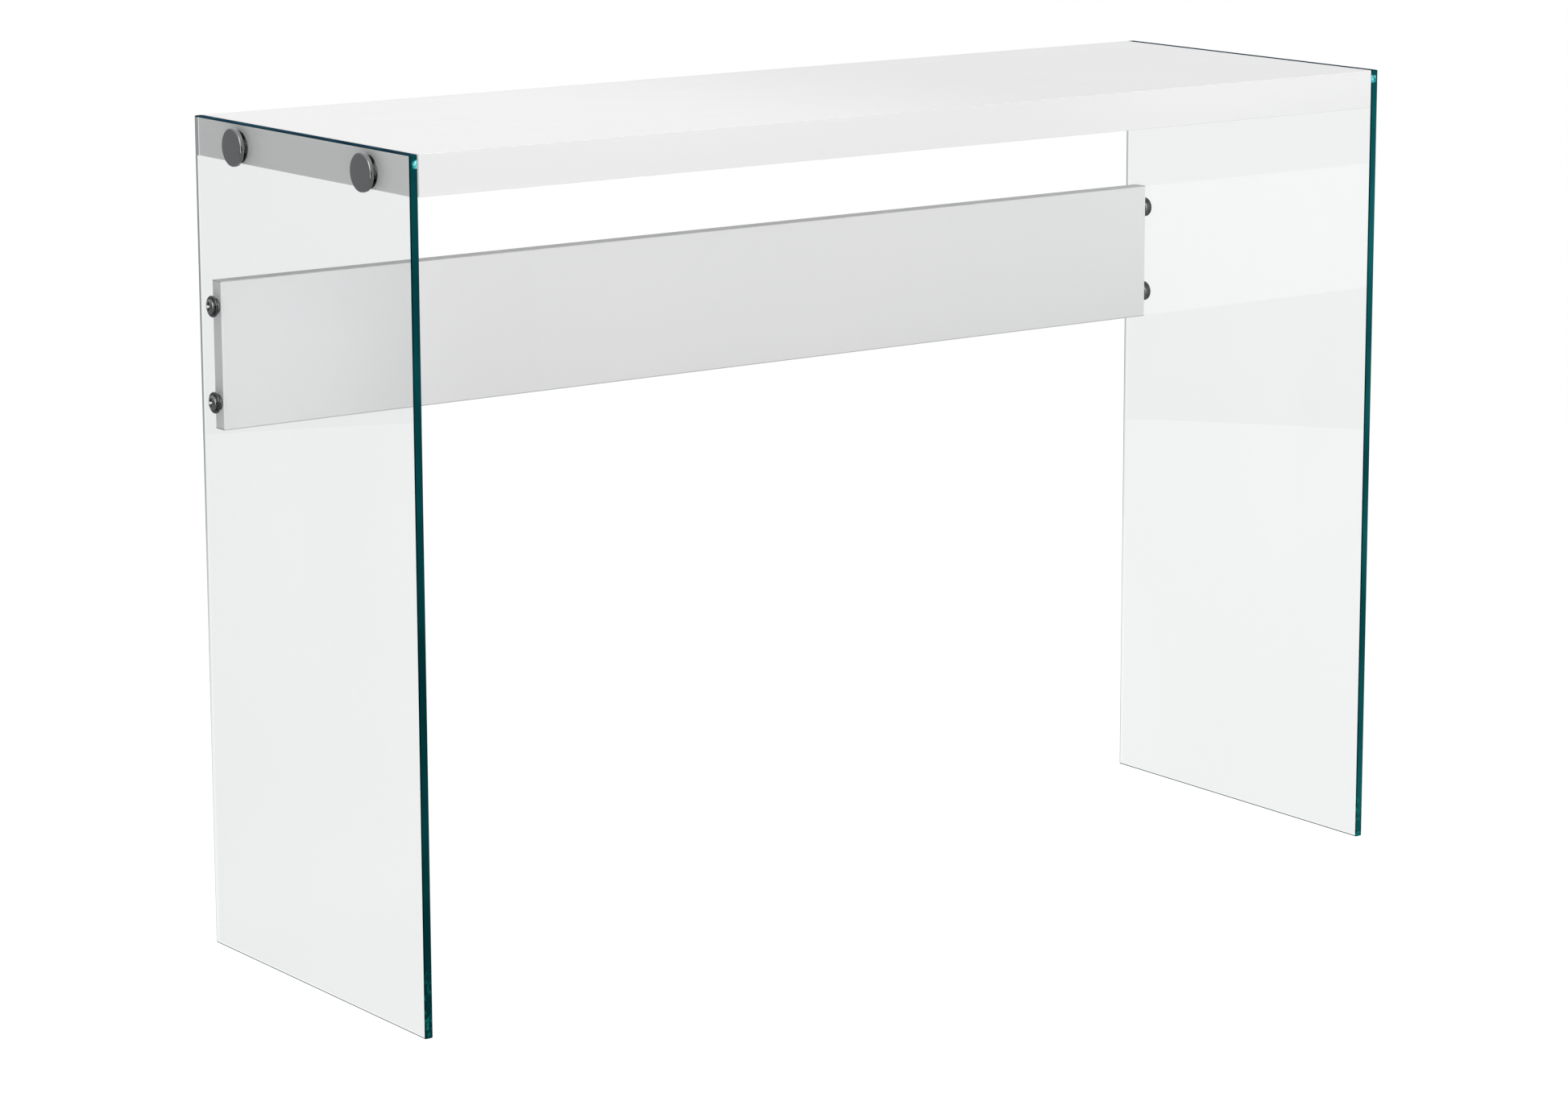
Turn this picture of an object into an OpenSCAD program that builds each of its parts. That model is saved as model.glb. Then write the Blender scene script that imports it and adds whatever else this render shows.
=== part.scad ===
// Console table: a white hollow-core top and a white stretcher board bolted
// between two clear tempered-glass side panels.
// The origin is on the floor, at the middle of the table's footprint.
// X runs along the table, the front edge faces -Y, and +Z is up.

/* [Table] */
// Overall length, outer face to outer face of the glass panels
table_l = 1118; // [900:1:1300]
// Depth of the glass panels and of the top, front to back
table_d = 370; // [320:1:450]
// Height of the top surface above the floor
table_h = 780; // [700:1:850]

/* [Glass panels] */
// Thickness of the tempered glass
glass_t = 8; // [6:1:12]
// Width of the ground arris on every edge of the glass
arris = 1.2; // [0.4:0.1:1.5]

/* [Hollow-core top] */
// Thickness of the finished top
top_t = 37; // [32:1:45]
// Thickness of the top skin and of the bottom skin
skin_t = 3; // [2:0.5:5]
// Thickness of the glossy edge bands
band_t = 1; // [0.8:0.1:2]
// Width of the long rails inside the top
rail_w = 30; // [20:1:45]
// Length of the solid blocks that hold the threaded inserts
end_block_l = 60; // [45:1:90]
// Width of the rib in the middle of the top
rib_w = 30; // [20:1:45]
// Width of one honeycomb cell, flat to flat
cell_w = 38; // [30:1:60]
// Thickness of the honeycomb's paper walls
cell_wall = 1; // [0.8:0.1:1.5]

/* [Stretcher board] */
// Height of the board's lower edge above the floor
board_z = 493; // [400:1:560]
// Height of the board
board_h = 138; // [110:1:160]
// Thickness of the finished board
board_t = 15; // [15:1:20]
// Distance from the middle of the table's depth to the board's front face
board_y = 152; // [100:1:155]
// Thickness of the glossy laminate on the board's two faces
laminate_t = 0.8; // [0.5:0.1:1]

/* [Cap bolts of the top] */
// Distance between the front and back cap bolts
cap_spacing = 222; // [180:1:240]
// Distance from the top surface down to the bolts' centre lines
cap_drop = 22; // [20:1:24]
// Diameter of the flat chrome caps
cap_d = 35; // [30:1:38]
// Thickness of the caps
cap_t = 4.2; // [4:0.1:7]
// Bevel around the face of the caps
cap_bevel = 1.2; // [0.5:0.1:2]
// Diameter of the bolts' studs
cap_stud_d = 8; // [6:1:8]
// Length of the studs behind the cap
cap_stud_l = 34; // [28:1:44]

/* [Screws of the stretcher board] */
// Distance between the upper and lower screws
screw_spacing = 89; // [70:1:100]
// Height of the pair's middle above the middle of the board
screw_rise = 1; // [0:0.5:3]
// Diameter of the chrome cup washers
cup_d = 20; // [18:1:22]
// Thickness of the cup washers
cup_t = 2; // [1.5:0.1:2.5]
// Diameter of the screw heads
screw_head_d = 14; // [12:1:15]
// Height of the domed screw heads
screw_head_t = 3; // [2.5:0.1:3.5]
// Width of the cross recess's wings
wing_w = 1.8; // [1.2:0.1:2.4]
// Span of the cross recess, wing tip to wing tip
wing_span = 8.4; // [6:0.2:9]
// Diameter of the screws' shanks
screw_d = 6; // [5:1:6]
// Length of the shanks behind the cup washer
screw_l = 28; // [24:1:34]

/* [Bushes, pads and inserts] */
// Thickness of the clear washers under the caps
washer_t = 0.8; // [0.5:0.1:1.5]
// Thickness of the clear pads between the glass and the boards
pad_t = 1; // [0.5:0.1:2]
// Diameter of the pads behind the cap bolts
top_pad_d = 30; // [20:1:30]
// Diameter of the pads behind the stretcher screws
board_pad_d = 14; // [11:0.5:15]
// Wall of the sleeves that keep the metal off the glass
sleeve_wall = 1.8; // [1:0.1:3]
// Diameter of the threaded inserts in the top
top_insert_d = 14; // [12:1:16]
// Length of the threaded inserts in the top
top_insert_l = 30; // [20:1:40]
// Diameter of the threaded inserts in the stretcher board
board_insert_d = 9; // [8:0.5:10]
// Length of the threaded inserts in the stretcher board
board_insert_l = 22; // [16:1:30]

/* [Hidden] */
$fn = 64;
// Radial and end play of everything that slides into a hole
play = 0.05;
// Overshoot of a cutting shape past the face that it opens
cut = 1;
// Chamfer on the tip of every stud and shank, and the room past the tip
tip = 1;
tip_room = 1;
// Metal left under the screws' cross recess
recess_floor = 0.5;
glass_x = table_l / 2;
// End faces of the top and of the stretcher board
inner_x = glass_x - glass_t - pad_t;
inner_l = 2 * inner_x;
core_t = top_t - 2 * skin_t;
core_z = table_h - top_t + skin_t;
core_l = inner_l - 2 * band_t;
core_d = table_d - 2 * band_t;
block_d = core_d - 2 * rail_w;
block_x = inner_x - band_t;
bay_l = block_x - end_block_l - rib_w / 2;
cap_z = table_h - cap_drop;
cap_ys = [-cap_spacing / 2, cap_spacing / 2];
board_mid_y = board_y + board_t / 2;
screw_mid_z = board_z + board_h / 2 + screw_rise;
screw_zs = [screw_mid_z - screw_spacing / 2, screw_mid_z + screw_spacing / 2];
// The holes in the glass, and the depth from the glass's outer face to a board
cap_hole_d = cap_stud_d + 2 * sleeve_wall + 2 * play;
screw_hole_d = screw_d + 2 * sleeve_wall + 2 * play;
board_depth = glass_t + pad_t;

GLASS = "#c3dedb";
GLOSS_WHITE = "#f4f4f3";
FIBREBOARD = "#b08a5c";
PINE = "#d8b98a";
KRAFT = "#b9905f";
CHROME = "#8f9296";
CLEAR = "#e6ecee";
NYLON = "#f1efe6";
ZINC = "#b7b3a2";

// A block centred on X and Y, standing on z
module slab(l, d, h, z) {
    translate([-l / 2, -d / 2, z]) cube([l, d, h]);
}

// Puts its children, drawn on the left side, on the side s: -1 left, 1 right
module on_side(s) {
    if (s < 0) children();
    else mirror([1, 0, 0]) children();
}

// Fastener frame: the origin on the left glass's outer face, +Z into the table
module at_caps() {
    for (y = cap_ys) translate([-glass_x, y, cap_z]) rotate([0, 90, 0]) children();
}

module at_screws() {
    for (z = screw_zs) translate([-glass_x, board_mid_y, z]) rotate([0, 90, 0]) children();
}

// A ring around the fastener axis, from depth z for the length h
module ring(d_out, d_in, z, h) {
    translate([0, 0, z]) difference() {
        cylinder(d = d_out, h = h);
        translate([0, 0, -cut]) cylinder(d = d_in, h = h + 2 * cut);
    }
}

// A hole along the fastener axis, from depth z for the length h
module hole(d, z, h) {
    translate([0, 0, z]) cylinder(d = d, h = h);
}

// A w by h rectangle with its four corners cut off at 45 degrees
module arrised(w, h) {
    polygon([[arris, 0], [w - arris, 0], [w, arris], [w, h - arris],
        [w - arris, h], [arris, h], [0, h - arris], [0, arris]]);
}

// Tempered pane with an arris on all twelve edges and four drilled holes
module glass_panel(s) {
    color(GLASS, 0.4) on_side(s) difference() {
        intersection() {
            translate([-glass_x, -table_d / 2, 0]) linear_extrude(table_h)
                arrised(glass_t, table_d);
            translate([-glass_x, table_d / 2, 0]) rotate([90, 0, 0])
                linear_extrude(table_d) arrised(glass_t, table_h);
            translate([-glass_x, -table_d / 2, 0]) rotate([90, 0, 90])
                linear_extrude(glass_t) arrised(table_d, table_h);
        }
        at_caps() hole(cap_hole_d, -cut, glass_t + 2 * cut);
        at_screws() hole(screw_hole_d, -cut, glass_t + 2 * cut);
    }
}

module top_skin() {
    color(GLOSS_WHITE) slab(core_l, core_d, skin_t, table_h - skin_t);
}

module bottom_skin() {
    color(GLOSS_WHITE) slab(core_l, core_d, skin_t, table_h - top_t);
}

// Long rail between the skins; e is 1 at the back and -1 at the front
module long_rail(e) {
    color(PINE) translate([0, e * (core_d - rail_w) / 2, 0])
        slab(core_l, rail_w, core_t, core_z);
}

module centre_rib() {
    color(PINE) slab(rib_w, block_d, core_t, core_z);
}

// Solid block at each end of the top, bored for the inserts and the studs
module end_block(s) {
    color(FIBREBOARD) on_side(s) difference() {
        translate([-block_x, -block_d / 2, core_z]) cube([end_block_l, block_d, core_t]);
        at_caps() {
            hole(top_insert_d + 2 * play, 0, board_depth + band_t + top_insert_l + play);
            hole(cap_stud_d + 2 * play, 0, cap_stud_l + tip_room);
        }
    }
}

// Expanded paper honeycomb that fills one bay between a block and the rib.
// The cells along the bay's edges are cut short by its outer wall.
module honeycomb(s) {
    columns = floor(bay_l / cell_w);
    pitch_x = bay_l / columns;
    cell_r = pitch_x / sqrt(3);
    pitch_y = 1.5 * cell_r;
    rows = floor(block_d / 2 / pitch_y);
    wall_r = cell_r - cell_wall / sqrt(3);
    color(KRAFT) on_side(s) translate([-bay_l - rib_w / 2, -block_d / 2, core_z])
        linear_extrude(core_t) difference() {
            square([bay_l, block_d]);
            intersection() {
                translate([cell_wall, cell_wall])
                    square([bay_l - 2 * cell_wall, block_d - 2 * cell_wall]);
                for (row = [-rows : rows], column = [0 : columns])
                    translate([(column + abs(row % 2) / 2) * pitch_x, block_d / 2 + row * pitch_y])
                        rotate(30) circle(wall_r, $fn = 6);
            }
        }
}

// Glossy band along a long edge of the top; e is 1 at the back, -1 at the front
module edge_band(e) {
    color(GLOSS_WHITE) translate([0, e * (table_d - band_t) / 2, 0])
        slab(inner_l, band_t, top_t, table_h - top_t);
}

// Glossy band on an end of the top, with a hole for each stud
module end_band(s) {
    color(GLOSS_WHITE) on_side(s) difference() {
        translate([-inner_x, -core_d / 2, table_h - top_t]) cube([band_t, core_d, top_t]);
        at_caps() hole(top_insert_d + 2 * play, 0, board_depth + band_t + cut);
    }
}

// Particleboard core of the stretcher, bored at both ends
module stretcher_core() {
    color(FIBREBOARD) difference() {
        translate([-core_l / 2, board_y + laminate_t, board_z + band_t])
            cube([core_l, board_t - 2 * laminate_t, board_h - 2 * band_t]);
        for (s = [-1, 1]) on_side(s) at_screws() {
            hole(board_insert_d + 2 * play, 0, board_depth + band_t + board_insert_l + play);
            hole(screw_d + 2 * play, 0, screw_l + tip_room);
        }
    }
}

// Glossy laminate on a face of the stretcher, with its front at y
module stretcher_laminate(y) {
    color(GLOSS_WHITE) translate([-core_l / 2, y, board_z + band_t])
        cube([core_l, laminate_t, board_h - 2 * band_t]);
}

// Glossy band on a long edge of the stretcher, standing on z
module stretcher_band(z) {
    color(GLOSS_WHITE) translate([-inner_x, board_y, z])
        cube([inner_l, board_t, band_t]);
}

// Glossy band on an end of the stretcher, with a hole for each screw
module stretcher_end_band(s) {
    color(GLOSS_WHITE) on_side(s) difference() {
        translate([-inner_x, board_y, board_z + band_t])
            cube([band_t, board_t, board_h - 2 * band_t]);
        at_screws() hole(board_insert_d + 2 * play, 0, board_depth + band_t + cut);
    }
}

// Chrome cap with its threaded stud, turned in one piece
module cap_bolts(s) {
    face_z = -washer_t - cap_t;
    stud_r = cap_stud_d / 2;
    color(CHROME) on_side(s) at_caps() rotate_extrude() polygon([
        [0, face_z], [cap_d / 2 - cap_bevel, face_z], [cap_d / 2, face_z + cap_bevel],
        [cap_d / 2, -washer_t], [stud_r, -washer_t], [stud_r, cap_stud_l - tip],
        [stud_r - tip, cap_stud_l], [0, cap_stud_l]]);
}

// Clear washer between a cap and the glass
module cap_washers(s) {
    washer_d = cap_d - 2 * cap_bevel;
    color(CLEAR, 0.6) on_side(s) at_caps()
        ring(washer_d, cap_stud_d + 2 * play, -washer_t, washer_t);
}

// Nylon sleeve that lines a cap bolt's hole in the glass
module cap_sleeves(s) {
    color(NYLON) on_side(s) at_caps()
        ring(cap_hole_d - 2 * play, cap_stud_d + 2 * play, 0, glass_t);
}

// Clear pad between the glass and the end of the top
module top_pads(s) {
    color(CLEAR, 0.6) on_side(s) at_caps()
        ring(top_pad_d, cap_stud_d + 2 * play, glass_t, pad_t);
}

// Threaded insert pressed into an end block, flush with the end band
module top_inserts(s) {
    color(ZINC) on_side(s) at_caps()
        ring(top_insert_d, cap_stud_d + 2 * play, board_depth, band_t + top_insert_l);
}

// Domed chrome screw with a cross recess
module stretcher_screws(s) {
    head_r = screw_head_d / 2;
    shank_r = screw_d / 2;
    face_r = screw_head_d / 3;
    rim_z = -cup_t - screw_head_t / 3;
    face_z = -cup_t - screw_head_t;
    recess_t = screw_head_t - recess_floor;
    color(CHROME) on_side(s) at_screws() difference() {
        rotate_extrude() polygon([
            [0, face_z], [face_r, face_z], [(face_r + head_r) / 2, face_z + screw_head_t / 4],
            [head_r, rim_z], [head_r, -cup_t], [shank_r, -cup_t], [shank_r, screw_l - tip],
            [shank_r - tip, screw_l], [0, screw_l]]);
        for (turn = [0, 90]) rotate(turn)
            translate([-wing_span / 2, -wing_w / 2, face_z - cut])
                cube([wing_span, wing_w, recess_t + cut]);
    }
}

// Chrome cup washer under a screw head, bevelled towards the glass
module cup_washers(s) {
    bore_r = screw_d / 2 + play;
    cup_r = cup_d / 2;
    color(CHROME) on_side(s) at_screws() rotate_extrude() polygon([
        [bore_r, -cup_t], [cup_r - cup_t, -cup_t], [cup_r, -cup_t / 2], [cup_r, 0], [bore_r, 0]]);
}

// Nylon sleeve that lines a screw's hole in the glass
module screw_sleeves(s) {
    color(NYLON) on_side(s) at_screws()
        ring(screw_hole_d - 2 * play, screw_d + 2 * play, 0, glass_t);
}

// Clear pad between the glass and the end of the stretcher
module stretcher_pads(s) {
    color(CLEAR, 0.6) on_side(s) at_screws()
        ring(board_pad_d, screw_d + 2 * play, glass_t, pad_t);
}

// Threaded insert pressed into the stretcher, flush with its end band
module stretcher_inserts(s) {
    color(ZINC) on_side(s) at_screws()
        ring(board_insert_d, screw_d + 2 * play, board_depth, band_t + board_insert_l);
}

glass_panel(-1);  // glass_panel_left
glass_panel(1);  // glass_panel_right
top_skin();
bottom_skin();
long_rail(-1);  // front_rail
long_rail(1);  // back_rail
centre_rib();
end_block(-1);  // end_block_left
end_block(1);  // end_block_right
honeycomb(-1);  // honeycomb_left
honeycomb(1);  // honeycomb_right
edge_band(-1);  // front_edge_band
edge_band(1);  // back_edge_band
end_band(-1);  // end_band_left
end_band(1);  // end_band_right
stretcher_core();
stretcher_laminate(board_y);  // stretcher_front_laminate
stretcher_laminate(board_y + board_t - laminate_t);  // stretcher_back_laminate
stretcher_band(board_z + board_h - band_t);  // stretcher_top_band
stretcher_band(board_z);  // stretcher_bottom_band
stretcher_end_band(-1);  // stretcher_end_band_left
stretcher_end_band(1);  // stretcher_end_band_right
cap_bolts(-1);  // cap_bolts_left
cap_bolts(1);  // cap_bolts_right
cap_washers(-1);  // cap_washers_left
cap_washers(1);  // cap_washers_right
cap_sleeves(-1);  // cap_sleeves_left
cap_sleeves(1);  // cap_sleeves_right
top_pads(-1);  // top_pads_left
top_pads(1);  // top_pads_right
top_inserts(-1);  // top_inserts_left
top_inserts(1);  // top_inserts_right
stretcher_screws(-1);  // stretcher_screws_left
stretcher_screws(1);  // stretcher_screws_right
cup_washers(-1);  // cup_washers_left
cup_washers(1);  // cup_washers_right
screw_sleeves(-1);  // screw_sleeves_left
screw_sleeves(1);  // screw_sleeves_right
stretcher_pads(-1);  // stretcher_pads_left
stretcher_pads(1);  // stretcher_pads_right
stretcher_inserts(-1);  // stretcher_inserts_left
stretcher_inserts(1);  // stretcher_inserts_right
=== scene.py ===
"""Console table: a glossy white top and stretcher board between two clear glass side panels.

Metres, +Z up, the front edge faces -Y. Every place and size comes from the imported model.
"""
import math

import bmesh
import bpy
from mathutils import Matrix, Vector


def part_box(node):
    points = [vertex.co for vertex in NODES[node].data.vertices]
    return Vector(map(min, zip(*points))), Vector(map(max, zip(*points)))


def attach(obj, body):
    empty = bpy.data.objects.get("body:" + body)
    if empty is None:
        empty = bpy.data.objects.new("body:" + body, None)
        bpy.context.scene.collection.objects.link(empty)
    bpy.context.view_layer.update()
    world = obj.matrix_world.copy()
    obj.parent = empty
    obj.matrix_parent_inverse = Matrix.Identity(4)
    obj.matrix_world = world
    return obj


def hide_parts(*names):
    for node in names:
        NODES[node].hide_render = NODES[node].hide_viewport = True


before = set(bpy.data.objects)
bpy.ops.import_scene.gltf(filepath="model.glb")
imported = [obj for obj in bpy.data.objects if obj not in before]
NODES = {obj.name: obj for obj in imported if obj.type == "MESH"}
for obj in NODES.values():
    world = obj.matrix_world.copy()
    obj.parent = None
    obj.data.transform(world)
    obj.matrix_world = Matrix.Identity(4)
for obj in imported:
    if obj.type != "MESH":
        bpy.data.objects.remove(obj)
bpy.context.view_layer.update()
MM = 0.001

SIDES = {"left": -1, "right": 1}
ROUND_STEPS = 64

# Glass
ARRIS = 1.2 * MM
ARRIS_STEPS = 3
HOLE_RIM = 0.4 * MM
GLASS_TINT = (0.953, 0.962, 0.961)
# Boards
BAND_EDGE = 0.55 * MM
BAND_STEPS = 4
# How far a cutting form reaches past the face that it opens
OVER = 1 * MM
# Bolts, screws and what sits round them
PLAY = 0.05 * MM
RING_EASE = 0.2 * MM
THREAD_START = 9 * MM
CAP_FILLET = 1.6 * MM
CAP_CROWN = 0.25 * MM
CAP_BACK_EASE = 0.4 * MM
CAP_STUD_R = 4 * MM
CAP_THREAD = (0.55 * MM, 1.25 * MM)
SCREW_SHANK_R = 3 * MM
SCREW_THREAD = (0.45 * MM, 1.0 * MM)
SCREW_FLAT_R = 1.5 * MM
SCREW_LIP = 0.7 * MM
SCREW_RIM_EASE = 0.3 * MM
SCREW_SMOOTH_ANGLE = 28
WING_SPAN = 8.4 * MM
WING_WIDTH = 2.2 * MM
WING_TAPER = 0.4
RECESS_DEPTH = 2.3 * MM
# Studio
FLOOR_RADIUS = 2.6
CAMERA_PLACE = (-2.61489, -3.52155, 1.26296)


# ---------------------------------------------------------------- shader helpers

class Tree:
    """A node tree with short ways to add nodes. Links are made by passing an output socket."""

    def __init__(self, tree):
        self.tree = tree
        tree.nodes.clear()

    def node(self, kind, settings=None, **inputs):
        """A new node. An input is named as on the node, with _ for spaces, or by its number: _0."""
        made = self.tree.nodes.new("ShaderNode" + kind)
        for key, value in (settings or {}).items():
            setattr(made, key, value)
        for key, value in inputs.items():
            socket = made.inputs[int(key[1:]) if key[0] == "_" else key.replace("_", " ")]
            self.feed(socket, value)
        return made

    def feed(self, socket, value):
        """Links a socket's output to the socket, or sets a plain value on it."""
        if isinstance(value, bpy.types.NodeSocket):
            self.tree.links.new(value, socket)
        elif isinstance(value, tuple) and socket.type == "RGBA":
            socket.default_value = (*value, 1)
        else:
            socket.default_value = value

    def math(self, operation, *values):
        inputs = {f"_{i}": v for i, v in enumerate(values)}
        return self.node("Math", {"operation": operation}, **inputs).outputs[0]

    def add(self, *values):
        """The sum of numbers and sockets."""
        total = values[0]
        for value in values[1:]:
            total = self.math("ADD", total, value)
        return total

    def times(self, *values):
        """The product of numbers and sockets."""
        product = values[0]
        for value in values[1:]:
            product = self.math("MULTIPLY", product, value)
        return product

    def smooth(self, value, low, high, to_low=0.0, to_high=1.0):
        """value from low to high, eased into the range to_low to to_high."""
        inputs = {"_0": value, "_1": low, "_2": high, "_3": to_low, "_4": to_high}
        made = self.node("MapRange", {"interpolation_type": "SMOOTHSTEP"}, **inputs)
        return made.outputs[0]

    def blend(self, factor, first, second):
        """The mix of two colours."""
        made = self.node("Mix", {"data_type": "RGBA"})
        self.feed(made.inputs[0], factor)
        self.feed(made.inputs[6], first)
        self.feed(made.inputs[7], second)
        return made.outputs[2]

    def mix(self, factor, first, second):
        """The mix of two numbers."""
        made = self.node("Mix", {"data_type": "FLOAT"})
        self.feed(made.inputs[0], factor)
        self.feed(made.inputs[2], first)
        self.feed(made.inputs[3], second)
        return made.outputs[0]

    def place(self, stretch=(1, 1, 1)):
        """The point in the table's own metres, stretched along each axis."""
        point = self.node("TexCoord").outputs["Object"]
        if stretch == (1, 1, 1):
            return point
        return self.node("Mapping", Vector=point, Scale=Vector(stretch)).outputs[0]

    def noise(self, scale, detail=2.0, roughness=0.5, stretch=(1, 1, 1), distortion=0.0):
        """Noise about 0.5, with `scale` features in a metre."""
        made = self.node("TexNoise", Vector=self.place(stretch), Scale=float(scale),
                         Detail=detail, Roughness=roughness, Distortion=distortion)
        return made.outputs[0]

    def bump(self, height, depth, strength=1.0):
        """A normal from a height that spans 0 to 1 over `depth` metres."""
        return self.node("Bump", Height=height, Distance=depth, Strength=strength).outputs[0]


class Look(Tree):
    """A material with one Principled shader."""

    def __init__(self, name):
        self.material = bpy.data.materials.new(name)
        self.material.use_nodes = True
        super().__init__(self.material.node_tree)
        self.shader = self.node("BsdfPrincipled")
        self.out = self.node("OutputMaterial", Surface=self.shader.outputs[0])

    def set(self, **inputs):
        for key, value in inputs.items():
            self.feed(self.shader.inputs[key.replace("_", " ")], value)


# ---------------------------------------------------------------- materials

def gloss_white(name, low, high):
    """Lacquered white board: soft cloudy whites, orange peel and faint polishing marks."""
    look = Look(name)
    cloud = look.noise(2.2, 2.0, 0.5)
    peel = look.noise(300, 1.0, 0.4)
    polish = look.noise(7, 2.0, 0.5)
    look.set(Base_Color=look.blend(look.smooth(cloud, 0.3, 0.7), low, high),
             Roughness=look.smooth(polish, 0.3, 0.7, 0.24, 0.27),
             Normal=look.bump(peel, 0.006 * MM),
             Coat_Weight=0.6, Coat_Roughness=0.06)
    return look.material


def edge_banding(name, low, high):
    """The stretcher's plastic edge bands: a clouded satin white with a fine grain."""
    look = Look(name)
    cloud = look.noise(3.0, 2.0, 0.5)
    grain = look.noise(420, 2.0, 0.5, stretch=(0.3, 1, 1))
    look.set(Base_Color=look.blend(cloud, low, high),
             Roughness=look.smooth(grain, 0.3, 0.7, 0.42, 0.5), Specular_IOR_Level=0.2,
             Normal=look.bump(grain, 0.01 * MM))
    return look.material


def see_through(look, glass):
    """Lets light pass glass unbent, so that what stands behind it is lit, and keeps what is seen."""
    path = look.node("LightPath")
    lit = look.math("MAXIMUM", path.outputs["Is Shadow Ray"], path.outputs["Is Diffuse Ray"])
    mirrored = look.times(path.outputs["Is Glossy Ray"],
                          look.math("SUBTRACT", 1.0, path.outputs["Is Transmission Ray"]))
    lit = look.math("MAXIMUM", lit, mirrored)
    open_way = look.node("BsdfTransparent", Color=GLASS_TINT)
    return look.node("MixShader", _0=lit, _1=glass, _2=open_way.outputs[0]).outputs[0]


def clear_glass():
    """The panes' faces: clear float glass with a faint cool cloud in its tint."""
    look = Look("clear_glass_face")
    cloud = look.noise(3.0, 2.0, 0.5, stretch=(1, 1.4, 0.8), distortion=0.6)
    tint = look.blend(look.smooth(cloud, 0.42, 0.66), GLASS_TINT, (0.943, 0.955, 0.957))
    wave = look.noise(9, 1.0, 0.4)
    look.set(Base_Color=tint, Roughness=0.0, IOR=1.5, Transmission_Weight=1.0,
             Normal=look.bump(wave, 0.02 * MM, 0.3))
    look.feed(look.out.inputs["Surface"], see_through(look, look.shader.outputs[0]))
    return look.material


def outer_edge_colour(look, along, height, streak):
    """Deep teal, with painted light: a steel blue sky reflection on top, a shaded arris, ground
    reflections flecked near the floor and a glint at the corners.
    """
    low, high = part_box("glass_panel_left")
    top, middle = high.z, -(low.x + high.x) / 2
    # From -1 at the outer face of either pane to 1 at its inner face
    across = look.times(look.math("SUBTRACT", middle, look.math("ABSOLUTE", along)),
                        2 / (high.x - low.x))
    # The right pane's edges catch more light than the left one's
    rightward = look.smooth(along, -0.1, 0.1)
    deep = look.blend(look.smooth(streak, 0.35, 0.65),
                      look.blend(rightward, (0.0012, 0.033, 0.038), (0.003, 0.07, 0.077)),
                      look.blend(rightward, (0.0025, 0.056, 0.062), (0.006, 0.108, 0.117)))
    facing = look.node("SeparateXYZ", Vector=look.node("NewGeometry").outputs["Normal"]).outputs
    # Painted reflection: the top faces get a lighter steel blue for the sky that they mirror
    steel = look.blend(look.smooth(streak, 0.3, 0.7), (0.007, 0.03, 0.052), (0.022, 0.065, 0.105))
    deep = look.blend(look.smooth(facing[2], 0.3, 0.6), deep, steel)
    # The arris on one side of the upright edges lies in shade
    shaded = look.times(look.smooth(facing[0], -0.7, -0.4, 1.0, 0.0),
                        look.smooth(facing[2], 0.1, 0.4, 1.0, 0.0))
    deep = look.blend(look.times(shaded, 0.93), deep, (0.0005, 0.004, 0.005))
    # Towards the floor the edge is painted with broken reflections of the ground
    near_floor = look.smooth(height, 0.005, 0.085, 1.0, 0.0)
    ground_reflection_noise = look.noise(170, 3.0, 0.65, stretch=(1, 1, 0.7), distortion=1.2)
    flecks = look.times(near_floor, look.smooth(ground_reflection_noise, 0.5, 0.62))
    flecked = look.blend(look.times(flecks, 0.75), deep, (0.012, 0.19, 0.165))
    # A painted turquoise glint just under the top corners
    spot = look.math("ABSOLUTE", look.math("SUBTRACT", height, top - 8.5 * MM))
    glint = look.times(look.smooth(spot, 2.0 * MM, 4.5 * MM, 1.0, 0.0),
                       look.smooth(across, -0.5, 0.1), look.smooth(look.noise(420, 2.0), 0.3, 0.55))
    sparkle = look.smooth(look.noise(700, 2.0), 0.5, 0.62)
    return look.blend(look.times(glint, 0.95), flecked,
                      look.blend(sparkle, (0.04, 0.5, 0.55), (0.42, 1.0, 0.98)))


def inner_edge_colour(look, along, height):
    """Seen from inside the pane, the far edges are a thin grey line that fades towards the floor."""
    left_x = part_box("glass_panel_left")[0].x
    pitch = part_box("glass_panel_right")[0].x - left_x
    depth = look.math("MODULO", look.math("SUBTRACT", along, left_x), pitch)
    slab_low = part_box("bottom_skin")[0].z
    near_skin = look.math("MAXIMUM", look.smooth(depth, 5.0 * MM, 6.5 * MM, 1.0, 0.0),
                          look.smooth(height, slab_low - MM, slab_low + MM))
    grey = look.times(look.smooth(height, 0.1, 0.6), near_skin,
                      look.smooth(along, -0.1, 0.1, 1.0, 0.6))
    return look.blend(grey, (0.95, 0.97, 0.97), (0.27, 0.3, 0.31))


def glass_edge():
    """The panes' ground and polished edges: deep teal outside, nearly clear from within."""
    look = Look("clear_glass_edge")
    along, _, height = look.node("SeparateXYZ", Vector=look.place()).outputs
    streak = look.noise(16, 3.0, 0.6, stretch=(1, 1, 0.45))
    look.set(Base_Color=outer_edge_colour(look, along, height, streak),
             Roughness=look.smooth(streak, 0.3, 0.7, 0.1, 0.2), IOR=1.5,
             Specular_IOR_Level=0.0, Normal=look.bump(look.noise(60, 2.0), 0.03 * MM))
    inner = look.node("BsdfTransparent", Color=inner_edge_colour(look, along, height))
    back = look.node("NewGeometry").outputs["Backfacing"]
    surface = look.node("MixShader", _0=back, _1=look.shader.outputs[0], _2=inner.outputs[0])
    look.feed(look.out.inputs["Surface"], see_through(look, surface.outputs[0]))
    return look.material


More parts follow.
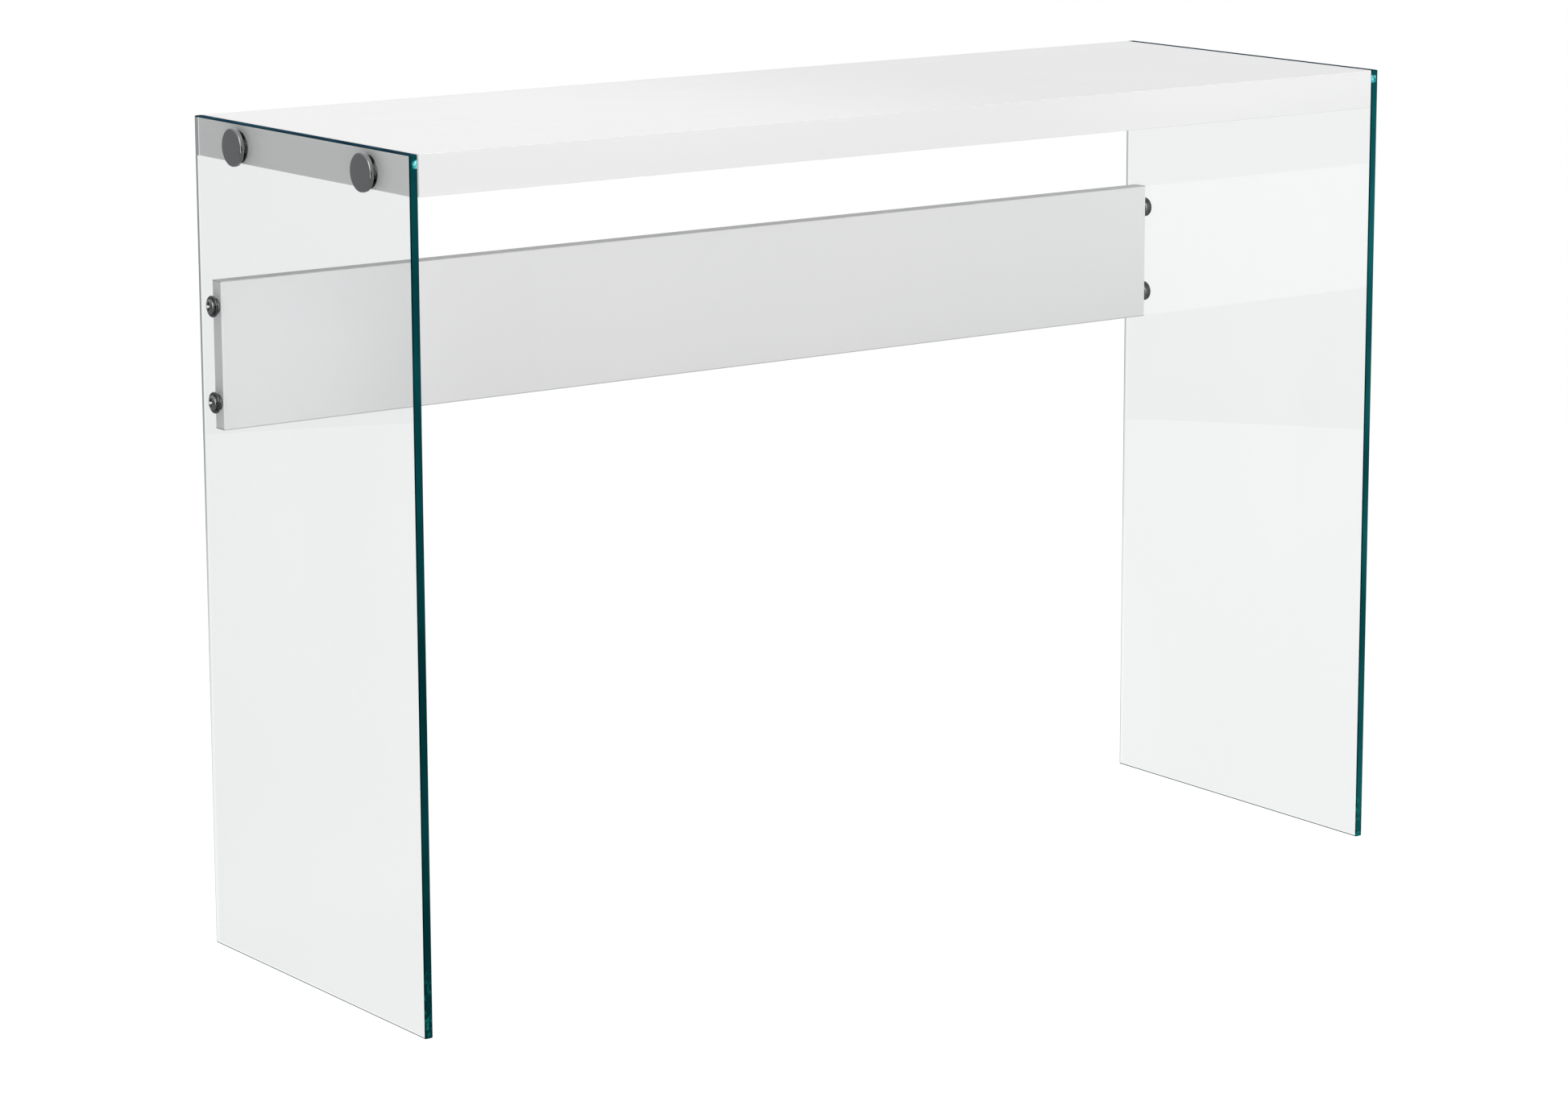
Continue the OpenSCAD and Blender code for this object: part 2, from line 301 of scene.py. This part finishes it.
def chrome(name, tone):
    """Polished chrome plate with hairline swirls and a few dull patches."""
    look = Look(name)
    dull = look.noise(160, 3.0, 0.6)
    swirl = look.noise(900, 2.0, 0.5, stretch=(1, 1, 0.3))
    look.set(Base_Color=look.blend(dull, tone, tuple(c * 0.88 for c in tone)), Metallic=1.0,
             Roughness=look.smooth(dull, 0.3, 0.7, 0.05, 0.11),
             Normal=look.bump(swirl, 0.003 * MM))
    return look.material


def clear_plastic():
    """Clear PVC of the washers and pads."""
    look = Look("clear_plastic_pvc")
    haze = look.noise(500, 2.0)
    look.set(Base_Color=look.blend(haze, (0.93, 0.94, 0.94), (0.97, 0.97, 0.97)), IOR=1.45,
             Roughness=look.smooth(haze, 0.3, 0.7, 0.02, 0.08), Transmission_Weight=1.0,
             Normal=look.bump(haze, 0.01 * MM))
    return look.material


def nylon():
    """Natural nylon of the sleeves: slightly milky, with turning marks."""
    look = Look("natural_nylon")
    marks = look.noise(300, 2.0, stretch=(6, 1, 1))
    look.set(Base_Color=look.blend(marks, (0.78, 0.76, 0.70), (0.86, 0.85, 0.80)),
             Roughness=look.smooth(marks, 0.3, 0.7, 0.38, 0.5), Subsurface_Weight=0.15,
             Subsurface_Radius=Vector((1, 1, 1)), Subsurface_Scale=MM,
             Normal=look.bump(marks, 0.02 * MM))
    return look.material


def zinc():
    """Zinc-plated inserts: pale yellow-grey with a spangled sheen."""
    look = Look("zinc_plate")
    spangle = look.node("TexVoronoi", Vector=look.place(), Scale=900.0).outputs["Distance"]
    look.set(Base_Color=look.blend(spangle, (0.62, 0.60, 0.52), (0.46, 0.45, 0.40)),
             Metallic=1.0, Roughness=look.smooth(spangle, 0.0, 0.8, 0.28, 0.45),
             Normal=look.bump(spangle, 0.015 * MM))
    return look.material


def softwood():
    """Planed pine of the rails and the rib, with grain along its length."""
    look = Look("planed_softwood")
    along = (0.35, 6, 6)
    warp = look.noise(4, 3.0, stretch=along, distortion=0.8)
    rings = look.node("TexWave", {"bands_direction": "Y"}, Vector=look.place(along),
                      Scale=9.0, Distortion=3.5, Detail=3.0, Detail_Scale=1.6).outputs[1]
    fibres = look.noise(220, 3.0, 0.6, stretch=(0.05, 1, 1))
    early = look.blend(warp, (0.62, 0.44, 0.24), (0.72, 0.54, 0.32))
    grain = look.blend(look.times(rings, 0.7), early, (0.42, 0.24, 0.10))
    look.set(Base_Color=look.blend(look.times(fibres, 0.25), grain, (0.34, 0.2, 0.09)),
             Roughness=look.smooth(fibres, 0.3, 0.7, 0.55, 0.75),
             Normal=look.bump(look.add(rings, fibres), 0.08 * MM))
    return look.material


def fibreboard():
    """Pressed board of the blocks and the core: brown fibres with pale and dark flecks."""
    look = Look("pressed_fibreboard")
    chip = look.node("TexVoronoi", Vector=look.place((0.6, 1, 1.6)), Scale=420.0)
    fine = look.noise(900, 3.0, 0.7)
    base = look.blend(chip.outputs["Distance"], (0.46, 0.32, 0.17), (0.30, 0.19, 0.09))
    look.set(Base_Color=look.blend(look.times(fine, 0.5), base, (0.62, 0.48, 0.30)),
             Roughness=look.smooth(fine, 0.3, 0.7, 0.7, 0.9),
             Normal=look.bump(fine, 0.12 * MM))
    return look.material


def kraft_paper():
    """Brown kraft paper of the honeycomb, with pulp fibres and fine calender lines."""
    look = Look("kraft_paper")
    pulp = look.noise(260, 4.0, 0.65, stretch=(1, 1, 0.5))
    lines = look.noise(120, 2.0, stretch=(0.2, 0.2, 5))
    base = look.blend(pulp, (0.36, 0.23, 0.11), (0.52, 0.36, 0.19))
    look.set(Base_Color=look.blend(look.times(lines, 0.3), base, (0.27, 0.17, 0.08)),
             Roughness=look.smooth(pulp, 0.3, 0.7, 0.75, 0.92), Normal=look.bump(pulp, 0.05 * MM))
    return look.material


# ---------------------------------------------------------------- mesh helpers

def piece(name, form, materials, slot, *replaced):
    """Makes an object of a bmesh, rides it on the one body and hides the model's parts that it replaces.
    """
    mesh = bpy.data.meshes.new(name)
    form.to_mesh(mesh)
    form.free()
    made = bpy.data.objects.new(name, mesh)
    bpy.context.scene.collection.objects.link(made)
    for material in materials:
        mesh.materials.append(material)
    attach(made, "root")
    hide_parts(*replaced)
    return made


def block(low, high):
    """A closed box between two corners."""
    form = bmesh.new()
    bmesh.ops.create_cube(form, size=1)
    size, middle = high - low, (low + high) / 2
    for vert in form.verts:
        vert.co = Vector(c * s for c, s in zip(vert.co, size)) + middle
    return form


def bevel(form, edges, width, steps):
    """Rounds the named edges of a form."""
    bmesh.ops.bevel(form, geom=edges, offset=width, offset_type="OFFSET", segments=steps,
                    profile=0.5, affect="EDGES", clamp_overlap=True)


def at_face(edge, corner_low, corner_high, axis, side):
    """True if the edge lies in the box's face at that side of the axis."""
    level = (corner_high if side > 0 else corner_low)[axis]
    return all(abs(v.co[axis] - level) < 1e-6 for v in edge.verts)


def lathe(profile, steps=ROUND_STEPS):
    """A closed form turned from (radius, depth) points, about the fastener's own +Z."""
    form = bmesh.new()
    rings = []
    for radius, depth in profile:
        if radius < 1e-7:
            rings.append([form.verts.new((0, 0, depth))])
            continue
        turns = [2 * math.pi * i / steps for i in range(steps)]
        rings.append([form.verts.new((radius * math.cos(a), radius * math.sin(a), depth))
                      for a in turns])
    closed = len(rings[0]) > 1
    pairs = list(zip(rings, rings[1:] + rings[:1])) if closed else list(zip(rings, rings[1:]))
    for first, second in pairs:
        for i in range(steps):
            j = (i + 1) % steps
            if len(first) == 1:
                form.faces.new((first[0], second[j], second[i]))
            elif len(second) == 1:
                form.faces.new((first[i], first[j], second[0]))
            else:
                form.faces.new((first[i], first[j], second[j], second[i]))
    bmesh.ops.recalc_face_normals(form, faces=form.faces)
    return form


def arc(centre, radius, start, end, steps):
    """Points (radius, depth) on an arc, with angles in degrees from the outward direction."""
    points = []
    for i in range(steps + 1):
        turn = math.radians(start + (end - start) * i / steps)
        points.append((centre[0] + radius * math.cos(turn), centre[1] + radius * math.sin(turn)))
    return points


def threads(radius, end, depth, pitch):
    """A profile of ridges behind the glass and its pad, ending in a chamfered tip."""
    points = [(radius, THREAD_START)]
    at = THREAD_START + pitch
    while at + pitch < end - pitch:
        points += [(radius - depth, at), (radius, at + pitch * 0.42), (radius, at + pitch * 0.58)]
        at += pitch
    return points + [(radius - depth, at), (radius - depth, end - depth), (radius - 2 * depth, end),
                     (0, end)]


def join(forms):
    """One bmesh of several, each kept as its own closed part."""
    whole = bmesh.new()
    for form in forms:
        part = bpy.data.meshes.new("part")
        form.to_mesh(part)
        form.free()
        whole.from_mesh(part)
        bpy.data.meshes.remove(part)
    return whole


def smooth_faces(made, angle=35):
    """Smooth shading that keeps edges sharper than the angle."""
    for face in made.data.polygons:
        face.use_smooth = True
    bm = bmesh.new()
    bm.from_mesh(made.data)
    for edge in bm.edges:
        if len(edge.link_faces) == 2:
            edge.smooth = edge.calc_face_angle(0) < math.radians(angle)
    bm.to_mesh(made.data)
    bm.free()


def carve(made, cutter_form):
    """Cuts a closed form out of an object's mesh."""
    mesh = bpy.data.meshes.new("cutter")
    cutter_form.to_mesh(mesh)
    cutter_form.free()
    cutter = bpy.data.objects.new("cutter", mesh)
    bpy.context.scene.collection.objects.link(cutter)
    cut = made.modifiers.new("cut", "BOOLEAN")
    cut.operation, cut.solver, cut.object = "DIFFERENCE", "EXACT", cutter
    bpy.context.view_layer.update()
    result = made.evaluated_get(bpy.context.evaluated_depsgraph_get())
    cut_mesh = bpy.data.meshes.new_from_object(result)
    made.modifiers.clear()
    old = made.data
    made.data = cut_mesh
    bpy.data.meshes.remove(old)
    bpy.data.objects.remove(cutter)
    bpy.data.meshes.remove(mesh)
    cut_mesh.name = made.name


# ---------------------------------------------------------------- fasteners' places

def fastener_axes(sleeves):
    """(y, z, radius) of each hole that the named sleeves line, from their two separate solids."""
    points = [v.co for v in NODES[sleeves].data.vertices]
    low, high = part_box(sleeves)
    spread = high - low
    axis = 1 if spread.y > spread.z else 2
    middle = (low[axis] + high[axis]) / 2
    axes = []
    for side in (-1, 1):
        mine = [p for p in points if (p[axis] - middle) * side > 0]
        ys, zs = [p.y for p in mine], [p.z for p in mine]
        axes.append(((min(ys) + max(ys)) / 2, (min(zs) + max(zs)) / 2, (max(ys) - min(ys)) / 2))
    return axes


CAP_AXES = {side: fastener_axes(f"cap_sleeves_{side}") for side in SIDES}
SCREW_AXES = {side: fastener_axes(f"screw_sleeves_{side}") for side in SIDES}


def onto_axis(form, side, y, z):
    """Turns a fastener's form into place: its depth 0 lies on the glass's outer face."""
    low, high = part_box(f"glass_panel_{side}")
    face_x = low.x if side == "left" else high.x
    inward = 1 if side == "left" else -1
    turn = Matrix(((0, 0, inward), (0, 1, 0), (1, 0, 0))).to_4x4()
    bmesh.ops.transform(form, matrix=Matrix.Translation((face_x, y, z)) @ turn, verts=form.verts)
    bmesh.ops.recalc_face_normals(form, faces=form.faces)
    return form


def depth_range(node, side):
    """The least and greatest depth of a node, from the glass's outer face into the table."""
    low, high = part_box(node)
    glass_low, glass_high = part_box(f"glass_panel_{side}")
    if side == "left":
        return low.x - glass_low.x, high.x - glass_low.x
    return glass_high.x - high.x, glass_high.x - low.x


def diameter(node):
    """The outer diameter of the round solids in a node."""
    low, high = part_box(node)
    return min(high.y - low.y, high.z - low.z)


# ---------------------------------------------------------------- pieces

def glass_panel(side, face_look, edge_look):
    """A pane with polished arrises and four drilled holes with eased rims."""
    node = f"glass_panel_{side}"
    low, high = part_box(node)
    form = block(low, high)
    bevel(form, list(form.edges), ARRIS, ARRIS_STEPS)
    made = piece(f"glass_pane_{side}", form, [face_look, edge_look], "clear_glass", node)
    cutters = []
    thick = high.x - low.x
    for y, z, radius in CAP_AXES[side] + SCREW_AXES[side]:
        rim = radius + HOLE_RIM
        wide = rim + OVER
        cutters.append(onto_axis(lathe([
            (0, -OVER), (wide, -OVER), (rim, 0), (radius, HOLE_RIM),
            (radius, thick - HOLE_RIM), (rim, thick), (wide, thick + OVER), (0, thick + OVER),
        ]), side, y, z))
    carve(made, join(cutters))
    rims = [(y, z, radius + 2 * HOLE_RIM) for y, z, radius in CAP_AXES[side] + SCREW_AXES[side]]
    for face in made.data.polygons:
        near_hole = any(math.hypot(face.center.y - y, face.center.z - z) < reach
                        for y, z, reach in rims)
        flat_side = abs(face.normal.x) > 0.99
        face.material_index = 0 if near_hole or flat_side else 1
    return made


def band(node, look, slot, faces_out, holes=()):
    """A glossy edge band whose edges on its outer face are rounded.

    faces_out is (axis, side) of that outer face."""
    low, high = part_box(node)
    form = block(low, high)
    axis, side = faces_out
    edges = [e for e in form.edges if at_face(e, low, high, axis, side)]
    bevel(form, edges, BAND_EDGE, BAND_STEPS)
    made = piece(node.replace("_band", "_banding"), form, [look], slot, node)
    if holes:
        glass_side, axes, radius = holes
        start, end = depth_range(node, glass_side)
        bore = [(0, start - OVER), (radius, start - OVER), (radius, end + OVER), (0, end + OVER)]
        cutters = [onto_axis(lathe(bore), glass_side, y, z) for y, z, _ in axes]
        carve(made, join(cutters))
    smooth_faces(made)
    return made


def cap_bolts(side, look):
    """Slightly crowned chrome caps with a rounded rim, each turned in one with its stud."""
    node = f"cap_bolts_{side}"
    radius = diameter(node) / 2
    start, end = depth_range(node, side)
    under = depth_range(f"cap_washers_{side}", side)[0]
    flat_r = radius - CAP_FILLET
    profile = [(0, start)]
    for share in (i / 8 for i in range(1, 9)):
        profile.append((flat_r * share, start + CAP_CROWN * share ** 2))
    profile += arc((flat_r, start + CAP_CROWN + CAP_FILLET), CAP_FILLET, -80, 0, 8)
    profile += arc((radius - CAP_BACK_EASE, under - CAP_BACK_EASE), CAP_BACK_EASE, 0, 90, 4)
    profile += [(CAP_STUD_R, under)]
    profile += threads(CAP_STUD_R, end, *CAP_THREAD)
    forms = [onto_axis(lathe(profile), side, y, z) for y, z, _ in CAP_AXES[side]]
    made = piece(f"chrome_cap_bolts_{side}", join(forms), [look], "chrome", node)
    smooth_faces(made)
    return made


def ring_piece(name, node, side, axes, bore_r, look):
    """Clear rings with eased edges: washers and pads."""
    ease = RING_EASE
    radius = diameter(node) / 2
    start, end = depth_range(node, side)
    profile = [(bore_r, start + ease), (bore_r + ease, start)]
    profile += arc((radius - ease, start + ease), ease, -90, 0, 4)
    profile += arc((radius - ease, end - ease), ease, 0, 90, 4)
    profile += [(bore_r + ease, end), (bore_r, end - ease)]
    forms = [onto_axis(lathe(profile), side, y, z) for y, z, _ in axes]
    made = piece(name, join(forms), [look], "clear_plastic", node)
    smooth_faces(made)
    return made


def wing(turn, start):
    """One slot of a cross recess, cut from depth start, whose walls close in towards its floor."""
    form = bmesh.new()
    grow = 1 + OVER / RECESS_DEPTH * (1 - WING_TAPER)
    corners = []
    for at, scale in ((start - OVER, grow), (start + RECESS_DEPTH, WING_TAPER)):
        half_span = WING_SPAN / 2 * scale
        half_width = WING_WIDTH / 2 * (1 + (scale - 1) * 0.5)
        corners.append([form.verts.new((x * half_span, y * half_width, at))
                        for x, y in ((-1, -1), (1, -1), (1, 1), (-1, 1))])
    low, high = corners
    form.faces.new(low)
    form.faces.new(high)
    for i in range(4):
        j = (i + 1) % 4
        form.faces.new((low[i], low[j], high[j], high[i]))
    bmesh.ops.rotate(form, matrix=Matrix.Rotation(turn, 3, "Z"), verts=form.verts)
    bmesh.ops.recalc_face_normals(form, faces=form.faces)
    return form


def recess_pit(start):
    """The pointed pit where the two slots of a cross recess meet."""
    mouth_r, rim_r, floor_r, point = 2.3 * MM, 2.1 * MM, 0.5 * MM, 0.2 * MM
    deep = start + RECESS_DEPTH
    return lathe([(0, start - OVER), (mouth_r, start - OVER), (rim_r, start),
                  (floor_r, deep), (0, deep + point)], ROUND_STEPS // 2)


def stretcher_screws(side, look):
    """Domed screws with a tapered cross recess and a threaded shank."""
    node = f"stretcher_screws_{side}"
    head_r = diameter(node) / 2
    start, end = depth_range(node, side)
    seat = depth_range(f"cup_washers_{side}", side)[0]
    rise = seat - start - SCREW_LIP
    profile = [(0, start), (SCREW_FLAT_R, start)]
    for turn in (math.radians(90 * i / 14) for i in range(1, 15)):
        profile.append((SCREW_FLAT_R + (head_r - SCREW_FLAT_R) * math.sin(turn),
                        start + rise * (1 - math.cos(turn))))
    profile += arc((head_r - SCREW_RIM_EASE, seat - SCREW_RIM_EASE), SCREW_RIM_EASE, 0, 90, 3)
    profile += [(SCREW_SHANK_R, seat)]
    profile += threads(SCREW_SHANK_R, end, *SCREW_THREAD)
    forms = [onto_axis(lathe(profile), side, y, z) for y, z, _ in SCREW_AXES[side]]
    made = piece(f"chrome_cross_screws_{side}", join(forms), [look], "chrome", node)
    for y, z, _ in SCREW_AXES[side]:
        for cutter in (wing(0, start), wing(math.pi / 2, start), recess_pit(start)):
            carve(made, onto_axis(cutter, side, y, z))
    smooth_faces(made, SCREW_SMOOTH_ANGLE)
    return made


def cup_washers(side, look):
    """Finishing washers: a rolled outer edge round a dished seat, hollow towards the glass."""
    node = f"cup_washers_{side}"
    radius = diameter(node) / 2
    start, end = depth_range(node, side)
    bore_r = SCREW_SHANK_R + PLAY
    seat_r = 7.1 * MM
    seat_ease, seat_drop = 0.2 * MM, 0.45 * MM
    roll = 1.0 * MM
    foot_ease, foot_w = 0.2 * MM, 0.9 * MM
    hollow_r, hollow_t, hollow_in = 1.4 * MM, 1.1 * MM, 0.6 * MM
    profile = [(bore_r, start), (seat_r - seat_ease, start), (seat_r, start + seat_drop)]
    profile += arc((radius - roll, start + roll), roll, -115, 0, 9)
    profile += [(radius, end - foot_ease), (radius - foot_ease, end), (radius - foot_w, end)]
    profile += [(seat_r - hollow_in + hollow_r * math.cos(a), end - hollow_t * math.sin(a))
                for a in (math.pi * i / 8 for i in range(9))]
    profile += [(bore_r, end)]
    forms = [onto_axis(lathe(profile), side, y, z) for y, z, _ in SCREW_AXES[side]]
    made = piece(f"chrome_cup_washers_{side}", join(forms), [look], "chrome", node)
    smooth_faces(made)
    return made


def dress(look, *names):
    """Gives carried-over CAD nodes their material."""
    for name in names:
        node = NODES[name]
        node.data.materials.clear()
        node.data.materials.append(look)


# ---------------------------------------------------------------- the table

def dress_cad_pieces(white, board_white):
    """The boards' faces and every hidden piece keep their CAD shape."""
    dress(white, "top_skin", "bottom_skin")
    dress(board_white, "stretcher_front_laminate", "stretcher_back_laminate")
    dress(softwood(), "front_rail", "back_rail", "centre_rib")
    dress(fibreboard(), "end_block_left", "end_block_right", "stretcher_core")
    dress(kraft_paper(), "honeycomb_left", "honeycomb_right")
    dress(nylon(), "cap_sleeves_left", "cap_sleeves_right",
          "screw_sleeves_left", "screw_sleeves_right")
    dress(zinc(), "top_inserts_left", "top_inserts_right",
          "stretcher_inserts_left", "stretcher_inserts_right")


def build():
    """Every piece of the table, from its materials to its meshes."""
    white = gloss_white("gloss_white_lacquer", (0.80, 0.802, 0.803), (0.815, 0.815, 0.815))
    board_white = gloss_white("gloss_white_laminate", (0.806, 0.808, 0.808), (0.822, 0.822, 0.822))
    # The top's end bands are the same lacquer in a lighter white: painted light against the shade on the
    # ends behind the glass
    lit_end_white = gloss_white("gloss_white_end_bands", (0.865, 0.866, 0.867), (0.88, 0.88, 0.88))
    face_look, edge_look = clear_glass(), glass_edge()
    # One chrome plating in three ever darker tones, darkest on the cup washers: painted shade that dims
    # their reflections
    cap_look = chrome("chrome_caps", (0.325, 0.33, 0.34))
    screw_look = chrome("chrome_screws", (0.25, 0.255, 0.26))
    cup_look = chrome("chrome_cup_washers", (0.13, 0.133, 0.137))
    plastic = clear_plastic()

    dress_cad_pieces(white, board_white)
    band("front_edge_band", white, "gloss_white", (1, -1))
    band("back_edge_band", white, "gloss_white", (1, 1))
    # Painted shade: the stretcher's top and bottom bands get a far greyer white than its faces
    shaded_board_edge = edge_banding("satin_edge_banding_painted_shade", (0.50, 0.503, 0.506), (0.53, 0.532, 0.535))
    board_end = edge_banding("satin_end_banding", (0.80, 0.802, 0.806), (0.83, 0.832, 0.835))
    band("stretcher_top_band", shaded_board_edge, "gloss_white", (2, 1))
    band("stretcher_bottom_band", shaded_board_edge, "gloss_white", (2, -1))
    top_hole_r = diameter("top_inserts_left") / 2 + PLAY
    board_hole_r = diameter("stretcher_inserts_left") / 2 + PLAY
    for side, sign in SIDES.items():
        band(f"end_band_{side}", lit_end_white, "gloss_white", (0, sign),
             (side, CAP_AXES[side], top_hole_r))
        band(f"stretcher_end_band_{side}", board_end, "gloss_white", (0, sign),
             (side, SCREW_AXES[side], board_hole_r))
        glass_panel(side, face_look, edge_look)
        cap_bolts(side, cap_look)
        for name, node, axes, shank_r in (
                ("clear_cap_washers", "cap_washers", CAP_AXES, CAP_STUD_R),
                ("clear_top_pads", "top_pads", CAP_AXES, CAP_STUD_R),
                ("clear_board_pads", "stretcher_pads", SCREW_AXES, SCREW_SHANK_R)):
            ring_piece(f"{name}_{side}", f"{node}_{side}", side, axes[side], shank_r + PLAY,
                       plastic)
        stretcher_screws(side, screw_look)
        cup_washers(side, cup_look)


# ---------------------------------------------------------------- studio

def studio_floor():
    """A plain white floor that glows like a light table, so that it stays pale and nearly shadowless."""
    form = bmesh.new()
    bmesh.ops.create_circle(form, cap_ends=True, segments=96, radius=FLOOR_RADIUS)
    mesh = bpy.data.meshes.new("studio_floor")
    form.to_mesh(mesh)
    form.free()
    floor = bpy.data.objects.new("studio_floor", mesh)
    floor.location.z = -0.2 * MM
    bpy.context.scene.collection.objects.link(floor)
    look = Look("studio_floor")
    path = look.node("LightPath")
    seen = look.math("MAXIMUM", path.outputs["Is Camera Ray"], path.outputs["Is Transmission Ray"])
    mirrored = look.times(path.outputs["Is Glossy Ray"], look.math("SUBTRACT", 1.0, seen))
    through = path.outputs["Is Transmission Ray"]
    # 0.76 as light, 0.98 to the camera, 0.92 through glass and 0.31 in mirrors
    glow = look.add(look.times(seen, 0.22), look.times(through, -0.06),
                    look.times(mirrored, -0.45), 0.76)
    look.set(Base_Color=(0.05, 0.05, 0.05), Roughness=0.9, Emission_Color=(1.0, 1.0, 1.0),
             Emission_Strength=glow)
    mesh.materials.append(look.material)


def overhead_light(tree, x, y):
    """How bright the upper surroundings are: dimmer at the left and slightly behind."""
    leftward = tree.add(tree.times(x, -0.93), tree.times(y, 0.36))
    dark = tree.smooth(leftward, -0.15, 0.75)
    return tree.math("MULTIPLY_ADD", dark, -0.6, 0.98)


def mirrored_light(tree, x, y, z, overhead):
    """What gloss mirrors: dark in front, white behind and overhead, and a ragged strip at the left."""
    behind = tree.smooth(y, -0.1, 0.6)
    ragged = tree.node("TexNoise", Vector=tree.node("CombineXYZ", Z=z).outputs[0], Scale=7.0,
                       Detail=3.0).outputs[0]
    strip_y = tree.add(y, tree.math("MULTIPLY_ADD", ragged, 0.5, 0.06))
    strip = tree.times(tree.smooth(tree.math("ABSOLUTE", strip_y), 0.14, 0.18, 1.0, 0.0),
                       tree.smooth(x, -0.6, -0.4, 1.0, 0.0))
    walls = tree.times(tree.math("MULTIPLY_ADD", behind, 0.88, 0.07), overhead)
    ceiling = tree.smooth(z, 0.03, 0.3, 0.0, 0.8)
    return tree.add(tree.math("MAXIMUM", walls, ceiling), tree.times(strip, 3.0))


def studio_light():
    """White surroundings that light, mirror and show differently, as a studio's screens would."""
    world = bpy.data.worlds.new("studio")
    bpy.context.scene.world = world
    world.use_nodes = True
    tree = Tree(world.node_tree)
    x, y, z = tree.node("SeparateXYZ", Vector=tree.node("TexCoord").outputs["Generated"]).outputs
    path = tree.node("LightPath").outputs
    overhead = overhead_light(tree, x, y)
    below = tree.smooth(z, -0.08, 0.0, 1.0, 0.0)
    diffuse = tree.mix(below, overhead, 0.76)
    light = tree.mix(path["Is Glossy Ray"], diffuse, mirrored_light(tree, x, y, z, overhead))
    # Through the glass the white backdrop meets the floor without a step
    behind_glass = tree.smooth(z, -0.18, -0.12, -0.035, -0.02)
    shown = tree.add(tree.times(path["Is Transmission Ray"], behind_glass), 1.0)
    seen = tree.math("MAXIMUM", path["Is Camera Ray"], path["Is Transmission Ray"])
    background = tree.node("Background", Color=(1.0, 1.0, 1.0),
                           Strength=tree.mix(seen, light, shown))
    tree.node("OutputWorld", Surface=background.outputs[0])


def soft_box(name, place, target, size, power, spread):
    """A gridded soft box that looks at the target and lights only what it faces.

    It shows in no mirror or glass, and its light fades at its own edges."""
    lamp = bpy.data.lights.new(name, "AREA")
    lamp.shape = "RECTANGLE"
    lamp.size, lamp.size_y = size
    lamp.energy = power
    lamp.spread = math.radians(spread)
    made = bpy.data.objects.new(name, lamp)
    bpy.context.scene.collection.objects.link(made)
    made.location = place
    made.rotation_euler = (Vector(target) - Vector(place)).to_track_quat("-Z", "Y").to_euler()
    made.visible_camera = False
    made.visible_transmission = False
    made.visible_glossy = False
    return made


def studio_camera():
    """The camera stands in front and to the left, a little above the top."""
    azimuth, elevation, roll = math.radians(36.26), math.radians(10.94), math.radians(-0.16)
    lens = bpy.data.cameras.new("camera")
    lens.sensor_width = 36
    lens.lens = 106.74
    lens.shift_y = -0.05
    lens.clip_end = 50
    camera = bpy.data.objects.new("camera", lens)
    bpy.context.scene.collection.objects.link(camera)
    ahead = Vector((math.sin(azimuth) * math.cos(elevation), math.cos(azimuth) * math.cos(elevation),
                    -math.sin(elevation)))
    level = Vector((math.cos(azimuth), -math.sin(azimuth), 0))
    upward = level.cross(ahead)
    right = level * math.cos(roll) + upward * math.sin(roll)
    upward = right.cross(ahead)
    axes = Matrix((right, upward, -ahead)).transposed()
    camera.matrix_world = Matrix.Translation(CAMERA_PLACE) @ axes.to_4x4()
    bpy.context.scene.camera = camera


def soft_boxes():
    """One soft box from the front, two that lift its ends, and one over the top's left half."""
    soft_box("front_box", (0.0, -2.6, 0.79), (0.0, 0.0, 0.79), (2.3, 0.56), 1.02, 10)
    soft_box("right_box", (0.65, -2.6, 0.88), (0.65, 0.0, 0.88), (0.85, 0.28), 0.085, 8)
    soft_box("left_box", (-0.55, -2.6, 0.54), (-0.55, 0.0, 0.54), (0.3, 0.25), 0.052, 6)
    soft_box("top_box", (-0.64, 0.0, 2.6), (-0.64, 0.0, 0.0), (1.25, 0.9), 0.84, 16)


build()
studio_floor()
studio_light()
soft_boxes()
studio_camera()
bpy.context.scene.view_settings.view_transform = "Standard"
